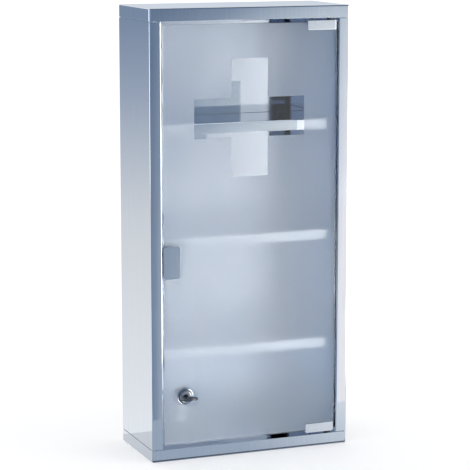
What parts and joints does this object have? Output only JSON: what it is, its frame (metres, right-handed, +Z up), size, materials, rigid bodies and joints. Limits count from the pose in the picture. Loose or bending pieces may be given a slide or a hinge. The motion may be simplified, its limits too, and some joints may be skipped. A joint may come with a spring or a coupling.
{
  "type": "glass door medical cabinet",
  "caption": "Tall shallow wall cabinet of folded steel with shelves inside and a frosted glass door with a clear cross, an edge pull and a cam lock with its key.",
  "frame": {"origin": "middle of the underside of the bottom cap, on the surface that the cabinet stands on", "axes": "+Z up, +Y out of the back to the wall, so the door faces -Y, and +X to the hinge side, the right seen from the front"},
  "size_m": [0.282, 0.1494, 0.6],
  "materials": {
    "polished_steel": "polished stainless sheet with a faint grain",
    "chrome_fitting": "satin chrome on die-cast fittings",
    "zinc": "bright zinc plating",
    "nickel": "black nickel plating",
    "frosted_glass": "sandblasted inside, polished outside and on the edges, with a clear cross",
    "nylon": "black moulded nylon",
    "vinyl": "pale vinyl packing",
    "rubber": "black rubber",
    "ferrite": "dark ceramic magnet"
  },
  "bodies": {
    "carcass": {"top_cap": "polished_steel", "bottom_cap": "polished_steel", "left_side_panel": "polished_steel", "right_side_panel": "polished_steel", "back_panel": "polished_steel", "lower_shelf": "polished_steel", "middle_shelf": "polished_steel", "upper_shelf": "polished_steel", "lower_left_bracket": "polished_steel", "lower_right_bracket": "polished_steel", "middle_left_bracket": "polished_steel", "middle_right_bracket": "polished_steel", "upper_left_bracket": "polished_steel", "upper_right_bracket": "polished_steel", "left_bottom_rivet": "zinc", "left_lower_rivet": "zinc", "left_upper_rivet": "zinc", "left_top_rivet": "zinc", "right_bottom_rivet": "zinc", "right_lower_rivet": "zinc", "right_upper_rivet": "zinc", "right_top_rivet": "zinc", "top_hinge_bush": "nylon", "bottom_hinge_bush": "nylon", "catch_housing": "nylon", "catch_magnet": "ferrite"},
    "door": {"door_glass": "frosted_glass", "top_hinge_clamp": "chrome_fitting", "top_hinge_liner": "vinyl", "top_hinge_pin": "nickel", "top_hinge_grub_1": "zinc", "top_hinge_grub_2": "zinc", "bottom_hinge_clamp": "chrome_fitting", "bottom_hinge_liner": "vinyl", "bottom_hinge_pin": "nickel", "bottom_hinge_grub_1": "zinc", "bottom_hinge_grub_2": "zinc", "door_pull": "chrome_fitting", "door_pull_pad": "vinyl", "door_pull_grub_1": "zinc", "door_pull_grub_2": "zinc", "lock_housing": "chrome_fitting", "lock_gasket": "rubber", "lock_nut": "zinc"},
    "lock_core": {"lock_plug": "chrome_fitting", "lock_cam": "zinc", "cam_screw": "zinc"},
    "key": {"key": "nickel"}
  },
  "joints": [
    {"name": "door_swing", "type": "hinge", "parent": "carcass", "child": "door", "pos_m": [0.1145, -0.057, 0.3], "axis": [0, 0, 1], "range_deg": [0, 110]},
    {"name": "key_turn", "type": "hinge", "parent": "door", "child": "lock_core", "pos_m": [-0.0943, -0.0595, 0.087], "axis": [0, 1, 0], "range_deg": [0, 90]},
    {"name": "key_pull", "type": "slide", "parent": "lock_core", "child": "key", "axis": [0, -1, 0], "range_m": [0, 0.012]}
  ]
}
